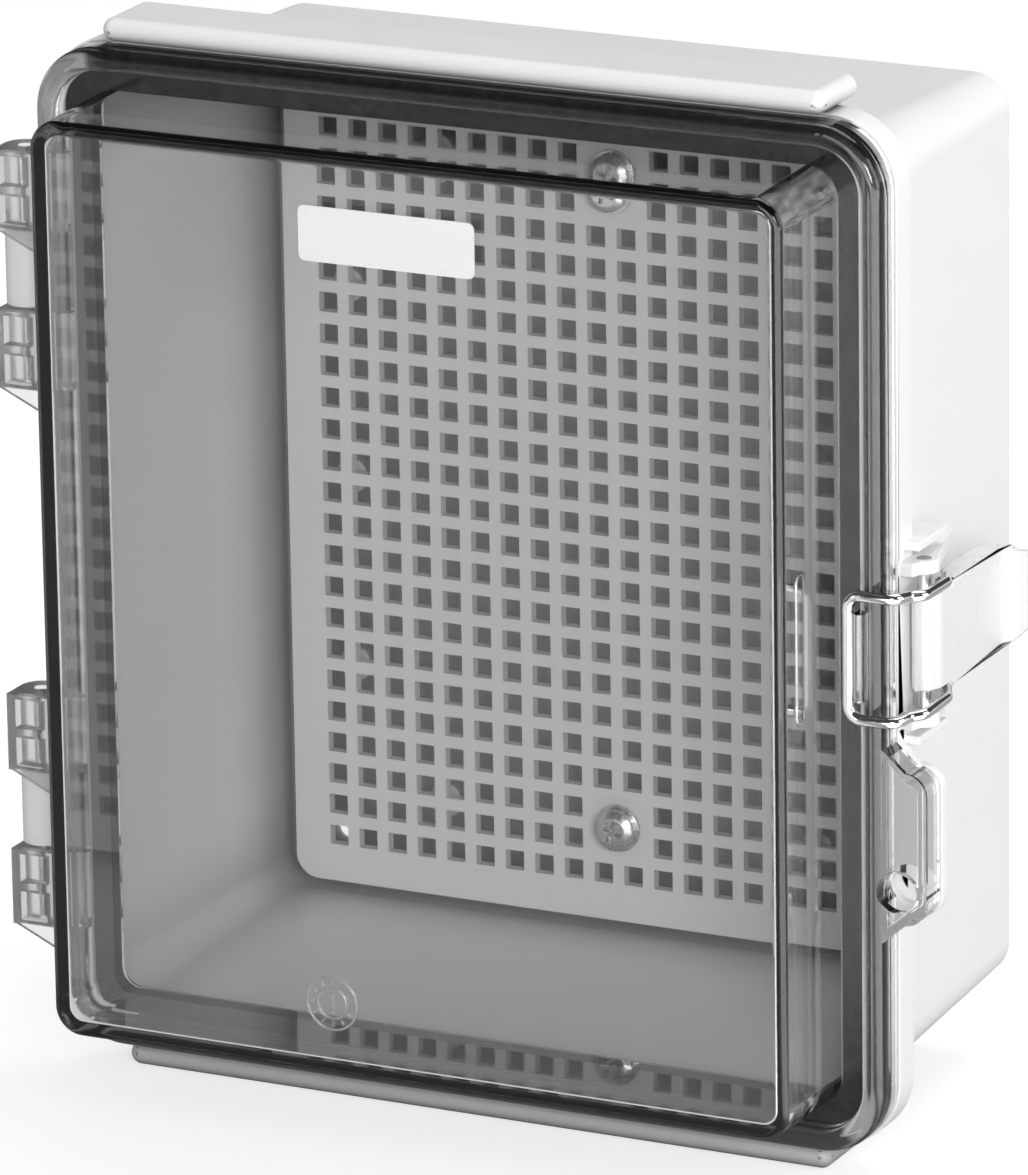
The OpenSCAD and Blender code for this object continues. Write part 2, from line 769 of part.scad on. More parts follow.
// quarter bend in the XY plane from a wire along +X to a wire along +Y
module bend_to_y(r) {
    translate([0, r, 0]) rotate([0, 0, -90]) rotate_extrude(angle = 90)
        translate([r, 0]) circle(wire_r);
}

// one arm of the bail with half of the front bar
module bail_half() {
    b = bail_bend_r;
    x2 = arm_out_x;
    // half of the front bar and its bend into the arm
    translate([bar_x, bar_y, 0]) cylinder_z(wire_r, 0, arm_z - b);
    translate([bar_x + b, bar_y, arm_z - b]) rotate([90, 0, 0]) rotate([0, 0, 90])
        rotate_extrude(angle = 90) translate([b, 0]) circle(wire_r);
    translate([0, bar_y, arm_z]) wire_x(bar_x + b, x2 - b);
    translate([x2 - b, bar_y, arm_z]) bend_to_y(b);
    translate([x2, 0, arm_z]) cylinder_y(wire_r, bar_y + b, bail_y - 2 * wire_r);
    // end of the arm turned in to the pivot
    arm_tail();
}

// the arm's end: a short crank inward and the pivot stub into the lever
module arm_tail() {
    y0 = bail_y - 2 * wire_r;
    translate([arm_out_x, y0, arm_z]) sphere(wire_r);
    translate([arm_out_x, y0, arm_z])
        rotate([0, 0, atan2(bail_y - y0, bail_x - arm_out_x)])
            wire_x(0, norm([bail_y - y0, bail_x - arm_out_x]));
    translate([bail_x, bail_y, arm_z]) sphere(wire_r);
    translate([bail_x, bail_y, 0]) cylinder_z(wire_r, nose_half_h - stub_l, arm_z);
}

module latch_bail() {
    color([0.8, 0.8, 0.82]) translate([0, 0, latch_z]) for (s = [0, 1])
        mirror([0, 0, s]) bail_half();
}

module lever_pivot_pin() {
    l = lug_z + lug_t;
    color([0.75, 0.75, 0.77]) translate([pivot_x, pivot_y, latch_z]) cylinder_z(pivot_pin_r, -l, l);
}

// ---------- mounting plate ----------

// true where the plate is left solid round a plate screw
function is_blank(i, j) =
    abs(i - (cols - 1) / 2) < 1 && abs(abs(j - (rows - 1) / 2) - screw_cell) < 1;

module mounting_plate() {
    color([0.69, 0.69, 0.68]) translate([0, plate_back_y, -plate_drop]) rotate([90, 0, 0])
        linear_extrude(plate_t) difference() {
            round_rect(plate_w / 2, plate_h / 2, plate_r);
            for (i = [0 : cols - 1], j = [0 : rows - 1]) if (!is_blank(i, j))
                translate([(i - (cols - 1) / 2) * pitch, (j - (rows - 1) / 2) * pitch])
                    square(hole_w, center = true);
            for (s = [-1, 1]) translate([0, s * screw_row]) circle(screw_r + screw_clear);
        }
}

module plate_washer(z) {
    color([0.7, 0.7, 0.72]) translate([0, 0, z]) difference() {
        cylinder_y(washer_r, plate_y - washer_t, plate_y);
        cylinder_y(screw_r + screw_clear, plate_y - washer_t - over, plate_y + over);
    }
}

// pan head screw with a cross recess, pointing to the wall
module plate_screw(z) {
    top_y = screw_seat_y - head_h;
    color([0.72, 0.72, 0.74]) translate([0, 0, z]) difference() {
        union() {
            cylinder_y(screw_r, screw_seat_y, screw_tip_y);
            cylinder_y(head_r, top_y + crown_h, screw_seat_y);
            translate([0, top_y + crown_h, 0]) rotate([90, 0, 0])
                cylinder(r1 = head_r, r2 = crown_r, h = crown_h);
        }
        for (a = [0, 90]) rotate([0, a + cross_turn, 0])
            translate([-cross_l / 2, top_y - over, -cross_w / 2])
                cube([cross_l, cross_d + over, cross_w]);
    }
}

base_tub();
cover();
cover_gasket();
hinge_pin(hinge_z);  // upper_hinge_pin
hinge_pin(-hinge_z);  // lower_hinge_pin
latch_lever();
latch_bail();
lever_pivot_pin();
mounting_plate();
plate_screw(screw_zs[0]);  // upper_plate_screw
plate_screw(screw_zs[1]);  // lower_plate_screw
plate_washer(screw_zs[0]);  // upper_plate_washer
plate_washer(screw_zs[1]);  // lower_plate_washer
blank_label();
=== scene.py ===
"""Looks of a hinged wall enclosure: white moulded tub, smoked clear cover, wire latch, grid plate.

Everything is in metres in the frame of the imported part: X to the right, the cover faces -Y, Z up,
and the origin is the centre of the back face.
"""

import json
import math

import bmesh
import bpy
from mathutils import Matrix, Vector
from mathutils.bvhtree import BVHTree


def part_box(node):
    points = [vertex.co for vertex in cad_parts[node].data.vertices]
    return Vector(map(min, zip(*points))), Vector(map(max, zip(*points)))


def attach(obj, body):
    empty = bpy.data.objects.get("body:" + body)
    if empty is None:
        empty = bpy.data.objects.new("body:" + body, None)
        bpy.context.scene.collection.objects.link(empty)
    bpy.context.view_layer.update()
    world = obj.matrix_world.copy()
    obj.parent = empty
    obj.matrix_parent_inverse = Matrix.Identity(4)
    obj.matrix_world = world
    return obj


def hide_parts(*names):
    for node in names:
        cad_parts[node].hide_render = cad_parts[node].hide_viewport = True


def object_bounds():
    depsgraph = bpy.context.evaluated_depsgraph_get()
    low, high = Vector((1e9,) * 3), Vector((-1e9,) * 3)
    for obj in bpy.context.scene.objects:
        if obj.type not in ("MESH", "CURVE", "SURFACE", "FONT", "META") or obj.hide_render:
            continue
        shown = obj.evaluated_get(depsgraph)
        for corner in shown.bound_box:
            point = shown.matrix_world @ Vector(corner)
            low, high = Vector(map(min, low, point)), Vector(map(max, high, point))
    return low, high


MM = 0.001

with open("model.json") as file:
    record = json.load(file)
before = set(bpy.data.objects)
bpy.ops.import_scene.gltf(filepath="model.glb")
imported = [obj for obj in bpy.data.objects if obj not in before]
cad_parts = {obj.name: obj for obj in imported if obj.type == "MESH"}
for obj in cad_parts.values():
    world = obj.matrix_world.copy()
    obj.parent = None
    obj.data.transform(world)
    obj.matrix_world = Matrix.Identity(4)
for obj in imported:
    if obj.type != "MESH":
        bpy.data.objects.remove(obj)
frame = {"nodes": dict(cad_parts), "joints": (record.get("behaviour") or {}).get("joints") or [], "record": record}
cad_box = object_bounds()
scene = bpy.context.scene


# ---------- values ----------

# camera: its direction from the plate, its distance, and how far the aim is off the plate's middle
VIEW_AZIMUTH = math.radians(26.2)
VIEW_ELEVATION = math.radians(17.07)
VIEW_ROLL = math.radians(-0.89)
VIEW_DISTANCE = 2.2222
VIEW_LENS = 306.4
VIEW_ASIDE = 22.8 * MM
VIEW_ABOVE = 17.2 * MM
VIEW_CLIP = (0.1, 20)

# studio: light on matt surfaces, dimness of the room in mirrors, and height of the white sweep
AMBIENT = 0.36
ROOM = 0.07
SWEEP_TOP = 0.25
SWEEP_BLUR = 0.15

# floor, with a patch on its right front that glows for mirrors only: painted reflections in the edges
FLOOR_HALF = 4.0
FLOOR_GAP = 0.2 * MM
FLOOR_GREY = 0.5
FLOOR_GLOW = 0.66
REFLECTION_PATCH_GLOW = 3
REFLECTION_PATCH_LEFT = 0.1
REFLECTION_PATCH_BACK = -0.06
REFLECTION_PATCH_FADE = 0.05

# name, place, width and height, power in watts
LAMPS = (
    ("key_softbox", (0.95, -1.2, 0.38), (0.45, 0.45), 12),
    ("front_softbox", (0.1, -1.6, 0.0), (1.0, 1.0), 10),
    ("right_softbox", (1.4, 0.1, 0.4), (0.8, 1.2), 8),
    ("top_softbox", (0.1, 0.5, 1.3), (1.2, 0.8), 8.5),
)

# moulded plastic: painted shade in recesses only inside the tub, up to this far from its middle plane
INSIDE_HALF_W = 91 * MM
INSIDE_FADE = 2 * MM

# clear cover: refraction, darkness per metre, rounding of its edges in the shading, the share of
# lamp light that each face lets through, and the frosted outside of its hinge knuckles
CLEAR_IOR = 1.585
CLEAR_ABSORB = 40
CLEAR_EDGE_R = 0.4 * MM
LAMP_THROUGH = 0.83
FROST_FROM_X = -100 * MM
FROST_FULL_X = -101 * MM
FROST_ROUGH = 0.28

# widths of the rounded edges
EDGE_ROUNDS = {
    "base_tub": 0.35 * MM,
    "latch_lever": 0.5 * MM,
    "upper_plate_screw": 0.12 * MM,
    "lower_plate_screw": 0.12 * MM,
    "upper_plate_washer": 0.15 * MM,
    "lower_plate_washer": 0.15 * MM,
}

# gasket: how far it stays inside its solid at the sides, its reach inwards, and its corners
GASKET_TRIM = 1.4 * MM
GASKET_WIDTH = 8.2 * MM
GASKET_OUTER_R = 11 * MM
GASKET_INNER_R = 6 * MM

# latch wire. The arm runs straight back from the front bar, then round a shoulder to its outermost
# line, back to a heel in front of the pivot, and ends in a hook in the pivot.
BAIL_WIRE = 2.5 * MM
BAIL_BEND = 3 * MM
BAIL_STRAIGHT = 10.5 * MM
BAIL_SHOULDER_IN = 2.5 * MM
BAIL_SHOULDER_BACK = 5 * MM
BAIL_OUTER_BACK = 7.5 * MM
BAIL_HEEL = 6 * MM
BAIL_HOOK = 6 * MM
# how far the arm leans to the middle at the shoulder, the outermost line, the heel and the pivot
BAIL_LEAN = (0.4 * MM, 0.6 * MM, 0.9 * MM, 1.2 * MM)

# figures moulded on the cover stand a hair clear of it
AIR = 0.03 * MM
WINDOW_T = 3 * MM
WINDOW_WALL_X = 88.6 * MM
WALL_MARK_BACK = 8 * MM
WALL_MARK_Z = 4.4 * MM
WALL_MARK_LENGTH = 33 * MM
WALL_MARK_WIDTH = 3.6 * MM
WALL_MARK_RIDGE_W = 0.8 * MM
WALL_MARK_RIDGE_H = 0.35 * MM
DIAL_X = -20.3 * MM
DIAL_Z = -87.6 * MM
DIAL_R = 6 * MM
DIAL_INNER_R = 0.58 * DIAL_R
DIAL_TICK_FROM = 0.68 * DIAL_R
DIAL_TICK_TO = 0.9 * DIAL_R
DIAL_POINTER = 0.4 * DIAL_R
DIAL_TICKS = 12
DIAL_RIDGE_W = 0.5 * MM
DIAL_RIDGE_H = 0.4 * MM
BAR_W = 0.5 * MM
BAR_H = 0.25 * MM


# ---------- camera ----------


def make_camera():
    """A long lens right of the front and a little above it, aimed near the middle of the plate."""
    sin_e, cos_e = math.sin(VIEW_ELEVATION), math.cos(VIEW_ELEVATION)
    back = Vector((math.sin(VIEW_AZIMUTH) * cos_e, -math.cos(VIEW_AZIMUTH) * cos_e, sin_e))
    level = back.cross(Vector((0, 0, -1))).normalized()
    upright = back.cross(level)
    right = math.cos(VIEW_ROLL) * level + math.sin(VIEW_ROLL) * upright
    up = math.cos(VIEW_ROLL) * upright - math.sin(VIEW_ROLL) * level
    low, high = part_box("mounting_plate")
    aim = Vector(((low.x + high.x) / 2, low.y, (low.z + high.z) / 2))
    place = aim + VIEW_DISTANCE * back - VIEW_ASIDE * right - VIEW_ABOVE * up
    data = bpy.data.cameras.new("camera")
    data.lens = VIEW_LENS
    data.clip_start, data.clip_end = VIEW_CLIP
    camera = bpy.data.objects.new("camera", data)
    scene.collection.objects.link(camera)
    turned = Matrix(
        (
            (right.x, up.x, back.x, 0),
            (right.y, up.y, back.y, 0),
            (right.z, up.z, back.z, 0),
            (0, 0, 0, 1),
        )
    )
    camera.matrix_world = Matrix.Translation(place) @ turned
    scene.camera = camera


# ---------- helpers for node trees ----------


def new_tree(owner):
    """An empty node tree on a material or the world, with helpers that add and join nodes."""
    owner.use_nodes = True
    tree = owner.node_tree
    tree.nodes.clear()

    def add(kind, **values):
        node = tree.nodes.new(kind)
        for key, value in values.items():
            setattr(node, key, value)
        return node

    def join(source, target):
        tree.links.new(source, target)

    return add, join


def calculate(add, join, operation, first, second):
    """The sum, product or larger one of two values. Each is a number or a socket."""
    node = add("ShaderNodeMath", operation=operation)
    for target, value in zip(node.inputs, (first, second)):
        if isinstance(value, bpy.types.NodeSocket):
            join(value, target)
        else:
            target.default_value = value
    return node.outputs[0]


def spread(add, join, source, low, high, start=0.3, end=0.7):
    """Maps start to end, which is the middle of a 0 to 1 texture, to the range low to high."""
    node = add("ShaderNodeMapRange")
    node.inputs["From Min"].default_value = start
    node.inputs["From Max"].default_value = end
    node.inputs["To Min"].default_value = low
    node.inputs["To Max"].default_value = high
    join(source, node.inputs["Value"])
    return node.outputs["Result"]


def fade(add, join, source, start, end, top=1.0):
    """0 before start and top past end, smooth between them. End may be below start."""
    node = add("ShaderNodeMapRange", interpolation_type="SMOOTHSTEP")
    node.inputs["From Min"].default_value = start
    node.inputs["From Max"].default_value = end
    node.inputs["To Max"].default_value = top
    join(source, node.inputs["Value"])
    return node.outputs["Result"]


def coordinates(add, join, kind="Object"):
    """The X, Y and Z of the piece's own coordinates, or of the direction in the world."""
    node = add("ShaderNodeSeparateXYZ")
    join(add("ShaderNodeTexCoord").outputs[kind], node.inputs[0])
    return node.outputs


def noise(add, join, scale, detail=3.0, stretch=(1, 1, 1)):
    """Noise over the piece's own coordinates, with scale in features per metre."""
    mapping = add("ShaderNodeMapping")
    mapping.inputs["Scale"].default_value = stretch
    join(add("ShaderNodeTexCoord").outputs["Object"], mapping.inputs["Vector"])
    texture = add("ShaderNodeTexNoise")
    texture.inputs["Scale"].default_value = scale
    texture.inputs["Detail"].default_value = detail
    join(mapping.outputs[0], texture.inputs["Vector"])
    return texture.outputs["Fac"]


def tint(add, join, source, dark, light):
    """A colour between dark and light, by a 0 to 1 texture."""
    node = add("ShaderNodeValToRGB")
    node.color_ramp.elements[0].position = 0.3
    node.color_ramp.elements[0].color = (*dark, 1)
    node.color_ramp.elements[1].position = 0.7
    node.color_ramp.elements[1].color = (*light, 1)
    join(source, node.inputs["Fac"])
    return node.outputs["Color"]


def bump(add, join, source, height, strength=1.0, normal=None):
    """The normal of a surface with a relief of the height, laid over another normal if given."""
    node = add("ShaderNodeBump")
    node.inputs["Strength"].default_value = strength
    node.inputs["Distance"].default_value = height
    join(source, node.inputs["Height"])
    if normal is not None:
        join(normal, node.inputs["Normal"])
    return node.outputs["Normal"]


# ---------- light ----------


def make_world():
    """A studio: a white sweep behind the object, dim walls above it and in front of it.

    Diffuse surfaces get even light, and the camera sees plain white.
    """
    world = bpy.data.worlds.new("studio")
    scene.world = world
    add, join = new_tree(world)
    direction = coordinates(add, join, "Generated")
    # the sweep is white from below up to just above the horizon, and only behind the object
    low = fade(add, join, direction["Z"], SWEEP_TOP, SWEEP_TOP - SWEEP_BLUR)
    behind = fade(add, join, direction["Y"], -SWEEP_BLUR, SWEEP_BLUR)
    sweep = calculate(add, join, "MULTIPLY", low, behind)
    room = spread(add, join, sweep, ROOM, 1.0, 0.0, 1.0)
    path = add("ShaderNodeLightPath")
    lit = add("ShaderNodeMix", data_type="FLOAT")
    join(path.outputs["Is Diffuse Ray"], lit.inputs["Factor"])
    join(room, lit.inputs["A"])
    lit.inputs["B"].default_value = AMBIENT
    seen = calculate(add, join, "MAXIMUM", path.outputs["Is Camera Ray"], lit.outputs["Result"])
    sky = add("ShaderNodeBackground")
    sky.inputs["Color"].default_value = (1, 1, 1, 1)
    join(seen, sky.inputs["Strength"])
    join(sky.outputs[0], add("ShaderNodeOutputWorld").inputs["Surface"])


def make_lights():
    """Soft lamps that all face the origin."""
    for name, place, size, power in LAMPS:
        data = bpy.data.lights.new(name, "AREA")
        data.shape = "RECTANGLE"
        data.size, data.size_y = size
        data.energy = power
        lamp = bpy.data.objects.new(name, data)
        scene.collection.objects.link(lamp)
        lamp.location = place
        lamp.rotation_euler = (-Vector(place)).to_track_quat("-Z", "Y").to_euler()


def make_floor():
    """A plain pale floor under the lowest edge of the box. It shows white and keeps the shadow. A patch on its
    right front glows only in mirrors: a painted reflection.
    """
    floor_z = cad_box[0].z - FLOOR_GAP
    half = FLOOR_HALF
    corners = [
        (-half, -half, floor_z),
        (half, -half, floor_z),
        (half, half, floor_z),
        (-half, half, floor_z),
    ]
    mesh = bpy.data.meshes.new("floor")
    mesh.from_pydata(corners, [], [(0, 1, 2, 3)])
    floor = bpy.data.objects.new("floor", mesh)
    scene.collection.objects.link(floor)
    material = bpy.data.materials.new("pale_floor")
    add, join = new_tree(material)
    diffuse = add("ShaderNodeBsdfDiffuse")
    diffuse.inputs["Color"].default_value = (FLOOR_GREY, FLOOR_GREY, FLOOR_GREY, 1)
    path = add("ShaderNodeLightPath").outputs
    direct = calculate(add, join, "MAXIMUM", path["Is Camera Ray"], path["Is Transmission Ray"])
    plain = calculate(add, join, "MULTIPLY", direct, FLOOR_GLOW)
    # the right front patch glows only for glossy rays: painted highlights on the edges that mirror it
    place = coordinates(add, join)
    aside = fade(add, join, place["X"], REFLECTION_PATCH_LEFT, REFLECTION_PATCH_LEFT + REFLECTION_PATCH_FADE)
    ahead = fade(add, join, place["Y"], REFLECTION_PATCH_BACK, REFLECTION_PATCH_BACK - REFLECTION_PATCH_FADE)
    reflection_patch = calculate(add, join, "MULTIPLY", aside, ahead)
    mirrored = calculate(add, join, "MULTIPLY", path["Is Glossy Ray"], reflection_patch)
    streaks = calculate(add, join, "MULTIPLY", mirrored, REFLECTION_PATCH_GLOW)
    glow = add("ShaderNodeEmission")
    join(calculate(add, join, "ADD", streaks, plain), glow.inputs["Strength"])
    both = add("ShaderNodeAddShader")
    join(diffuse.outputs[0], both.inputs[0])
    join(glow.outputs[0], both.inputs[1])
    join(both.outputs[0], add("ShaderNodeOutputMaterial").inputs["Surface"])
    mesh.materials.append(material)


# ---------- materials ----------


def paint_recess_shade(add, join, colour, reach, depth):
    """The colour, darker by up to depth in the recesses inside the box: painted shade where other surfaces stand
    close.

    A recess is a place with something else closer than reach.
    """
    # ambient occlusion darkens the base colour in recesses inside the box: painted shade
    open_share = add("ShaderNodeAmbientOcclusion", samples=6)
    open_share.inputs["Distance"].default_value = reach
    aside = add("ShaderNodeMath", operation="ABSOLUTE")
    join(coordinates(add, join)["X"], aside.inputs[0])
    outside = fade(add, join, aside.outputs[0], INSIDE_HALF_W - INSIDE_FADE, INSIDE_HALF_W)
    unshaded = calculate(add, join, "MAXIMUM", open_share.outputs["AO"], outside)
    shade = add("ShaderNodeVectorMath", operation="SCALE")
    join(colour, shade.inputs[0])
    join(spread(add, join, unshaded, 1 - depth, 1.0, 0.0, 1.0), shade.inputs["Scale"])
    return shade.outputs["Vector"]


def moulded_plastic(name, dark, light, rough, grain_height=0.008 * MM, reach=0.0, depth=0.0):
    """Opaque moulded plastic: faint cloudy colour, a satin sheen and a fine spark-eroded grain.

    Reach and depth set the painted shade in the recesses inside the box. Without a depth no shade is painted.
    """
    material = bpy.data.materials.new(name)
    add, join = new_tree(material)
    shader = add("ShaderNodeBsdfPrincipled")
    shader.inputs["IOR"].default_value = 1.52
    cloud = noise(add, join, 26, 4)
    grain = noise(add, join, 2600, 2)
    smudge = noise(add, join, 90, 5)
    colour = tint(add, join, cloud, dark, light)
    # painted shade in recesses, from ambient occlusion
    if depth:
        colour = paint_recess_shade(add, join, colour, reach, depth)
    join(colour, shader.inputs["Base Color"])
    join(spread(add, join, smudge, rough - 0.06, rough + 0.06), shader.inputs["Roughness"])
    join(bump(add, join, grain, grain_height), shader.inputs["Normal"])
    join(shader.outputs[0], add("ShaderNodeOutputMaterial").inputs["Surface"])
    return material


def metal(name, colour, rough, stretch):
    """Bare metal with fine drawing marks along one direction."""
    material = bpy.data.materials.new(name)
    add, join = new_tree(material)
    shader = add("ShaderNodeBsdfPrincipled")
    shader.inputs["Metallic"].default_value = 1.0
    marks = noise(add, join, 900, 3, stretch)
    dull = noise(add, join, 150, 4)
    darker = [channel * 0.9 for channel in colour]
    join(tint(add, join, dull, darker, colour), shader.inputs["Base Color"])
    join(spread(add, join, marks, rough * 0.7, rough * 1.4), shader.inputs["Roughness"])
    join(bump(add, join, marks, 0.004 * MM), shader.inputs["Normal"])
    join(shader.outputs[0], add("ShaderNodeOutputMaterial").inputs["Surface"])
    return material


def smoked_clear(name):
    """Smoked clear polycarbonate. Lamps and scattered light pass straight through it."""
    material = bpy.data.materials.new(name)
    add, join = new_tree(material)
    shader = add("ShaderNodeBsdfPrincipled")
    shader.inputs["Transmission Weight"].default_value = 1.0
    shader.inputs["IOR"].default_value = CLEAR_IOR
    shader.inputs["Base Color"].default_value = (0.95, 0.95, 0.95, 1)
    haze = spread(add, join, noise(add, join, 60, 5), 0.0, 0.03)
    across = coordinates(add, join)["X"]
    frosted = fade(add, join, across, FROST_FROM_X, FROST_FULL_X, FROST_ROUGH)
    join(calculate(add, join, "ADD", haze, frosted), shader.inputs["Roughness"])
    edge = add("ShaderNodeBevel", samples=4)
    edge.inputs["Radius"].default_value = CLEAR_EDGE_R
    flow = noise(add, join, 38, 1, (1, 1, 0.35))
    join(bump(add, join, flow, 0.02 * MM, 0.6, edge.outputs[0]), shader.inputs["Normal"])
    path = add("ShaderNodeLightPath").outputs
    lamps = calculate(add, join, "MAXIMUM", path["Is Shadow Ray"], path["Is Diffuse Ray"])
    through = add("ShaderNodeBsdfTransparent")
    through.inputs["Color"].default_value = (LAMP_THROUGH, LAMP_THROUGH, LAMP_THROUGH, 1)
    mix = add("ShaderNodeMixShader")
    join(lamps, mix.inputs[0])
    join(shader.outputs[0], mix.inputs[1])
    join(through.outputs[0], mix.inputs[2])
    volume = add("ShaderNodeVolumeAbsorption")
    volume.inputs["Color"].default_value = (0, 0, 0, 1)
    volume.inputs["Density"].default_value = CLEAR_ABSORB
    out = add("ShaderNodeOutputMaterial")
    join(mix.outputs[0], out.inputs["Surface"])
    join(volume.outputs[0], out.inputs["Volume"])
    return material


def foam_rubber(name):
    """Dark closed-cell foam."""
    material = bpy.data.materials.new(name)
    add, join = new_tree(material)
    shader = add("ShaderNodeBsdfPrincipled")
    cells = add("ShaderNodeTexVoronoi")
    cells.inputs["Scale"].default_value = 1400
    join(add("ShaderNodeTexCoord").outputs["Object"], cells.inputs["Vector"])
    patches = noise(add, join, 500, 4)
    colour = tint(add, join, patches, (0.012, 0.012, 0.013), (0.05, 0.05, 0.052))
    join(colour, shader.inputs["Base Color"])
    join(spread(add, join, patches, 0.75, 0.95), shader.inputs["Roughness"])
    join(bump(add, join, cells.outputs["Distance"], 0.08 * MM), shader.inputs["Normal"])
    join(shader.outputs[0], add("ShaderNodeOutputMaterial").inputs["Surface"])
    return material


def make_materials():
    """One material for each slot."""
    return {
        # white_abs and grey_plate take painted shade in their recesses inside the box
        "white_abs": moulded_plastic(
            "white_abs", (0.82, 0.825, 0.81), (0.835, 0.84, 0.825), 0.4, reach=22 * MM, depth=0.85
        ),
        "clear_pc": smoked_clear("clear_pc"),
        "foam": foam_rubber("foam"),
        "steel": metal("steel", (0.62, 0.62, 0.63), 0.3, (1, 1, 0.05)),
        "white_lever": moulded_plastic("white_lever", (0.76, 0.76, 0.745), (0.77, 0.77, 0.755), 0.28),
        "stainless_wire": metal("stainless_wire", (0.72, 0.72, 0.73), 0.12, (1, 1, 0.2)),
        "grey_plate": moulded_plastic(
            "grey_plate", (0.78, 0.78, 0.765), (0.80, 0.80, 0.785), 0.5, reach=4 * MM, depth=0.3
        ),
        "screw_steel": metal("screw_steel", (0.60, 0.60, 0.60), 0.25, (1, 1, 1)),
        "label": moulded_plastic("label", (0.80, 0.80, 0.80), (0.81, 0.81, 0.81), 0.3, 0.002 * MM),
    }


def slot_of(node):
    """The name of the material slot of a CAD node, without the number that the import may add."""
    return node.data.materials[0].name.split(".")[0]


def dress_cad_nodes():
    """Each CAD node takes the finish that its slot names."""
    for node in frame["nodes"].values():
        slots = node.data.materials
        for i, old in enumerate(slots):
            slots[i] = materials[old.name.split(".")[0]]


# ---------- pieces ----------


def body_of(node):
    """The name of the body that carries a CAD node."""
    for body, nodes in frame["record"]["behaviour"]["bodies"].items():
        if node in nodes:
            return body
    raise KeyError(node)


def smooth_mesh(name, shape, slot, sharp):
    """A mesh from a bmesh, smooth except at edges sharper than an angle, with a slot's material."""
    mesh = bpy.data.meshes.new(name)
    shape.to_mesh(mesh)
    shape.free()
    for polygon in mesh.polygons:
        polygon.use_smooth = True
    mesh.set_sharp_from_angle(angle=sharp)
    mesh.materials.append(materials[slot])
    return mesh


def shaped(name, shape, body, slot, sharp=math.radians(40)):
    """Makes a piece from a bmesh that rides on a body."""
    piece = bpy.data.objects.new(name, smooth_mesh(name, shape, slot, sharp))
    scene.collection.objects.link(piece)
    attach(piece, body)
    return piece


def soften(node, width):
    """A copy of a CAD node with its edges rounded, as a moulding or a turned part has them."""
    source = frame["nodes"][node]
    shape = bmesh.new()
    shape.from_mesh(source.data)
    bmesh.ops.remove_doubles(shape, verts=shape.verts, dist=2e-6)
    original = BVHTree.FromBMesh(shape)
    bmesh.ops.dissolve_limit(
        shape,
        angle_limit=math.radians(0.6),
        verts=shape.verts,
        edges=shape.edges,
        delimit={"NORMAL"},
    )
    edges = [edge for edge in shape.edges if edge.calc_face_angle(0) > math.radians(30)]
    bmesh.ops.bevel(
        shape,
        geom=edges,
        offset=width,
        offset_type="OFFSET",
        segments=2,
        profile=0.5,
        affect="EDGES",
        clamp_overlap=False,
        miter_outer="ARC",
        miter_inner="SHARP",
    )
    # where edges meet at a narrow angle, a corner that is thrown out goes back to the surface
    for corner in shape.verts:
        nearest, _, _, away = original.find_nearest(corner.co)
        if away > width:
            corner.co = nearest
    piece = shaped(f"{node}_soft", shape, body_of(node), slot_of(source), math.radians(50))
    weighted = piece.modifiers.new("normals", "WEIGHTED_NORMAL")
    weighted.keep_sharp = True
    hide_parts(node)


def rounded_route(corners, radius, steps=8):
    """A polyline through the corners, each turned into an arc of the radius or as much as fits."""
    route = [corners[0]]
    for before, corner, after in zip(corners, corners[1:], corners[2:]):
        back, ahead = (before - corner), (after - corner)
        half_turn = back.angle(ahead) / 2
        room = 0.48 * min(back.length, ahead.length)
        reach = min(radius / math.tan(half_turn), room)
        arc = reach * math.tan(half_turn)
        middle = (back.normalized() + ahead.normalized()).normalized()
        centre = corner + middle * (arc / math.sin(half_turn))
        start = (corner + back.normalized() * reach - centre).normalized()
        end = (corner + ahead.normalized() * reach - centre).normalized()
        for step in range(steps + 1):
            route.append(centre + start.slerp(end, step / steps) * arc)
    route.append(corners[-1])
    return route


def wire(route, radius, sides=20):
    """A round wire swept along a route, with flat ends."""
    shape = bmesh.new()
    rings = []
    ahead = (route[1] - route[0]).normalized()
    side = ahead.orthogonal().normalized()
    for i, point in enumerate(route):
        before = route[max(i - 1, 0)]
        after = route[min(i + 1, len(route) - 1)]
        ahead = (after - before).normalized()
        side = (side - ahead * side.dot(ahead)).normalized()
        up = ahead.cross(side)
        ring = []
        for k in range(sides):
            angle = 2 * math.pi * k / sides
            outward = math.cos(angle) * side + math.sin(angle) * up
            ring.append(shape.verts.new(point + radius * outward))
        rings.append(ring)
    for ring, following in zip(rings, rings[1:]):
        for k in range(sides):
            shape.faces.new((ring[k], ring[k - 1], following[k - 1], following[k]))
    shape.faces.new(rings[0])
    shape.faces.new(reversed(rings[-1]))
    bmesh.ops.recalc_face_normals(shape, faces=shape.faces)
    return shape


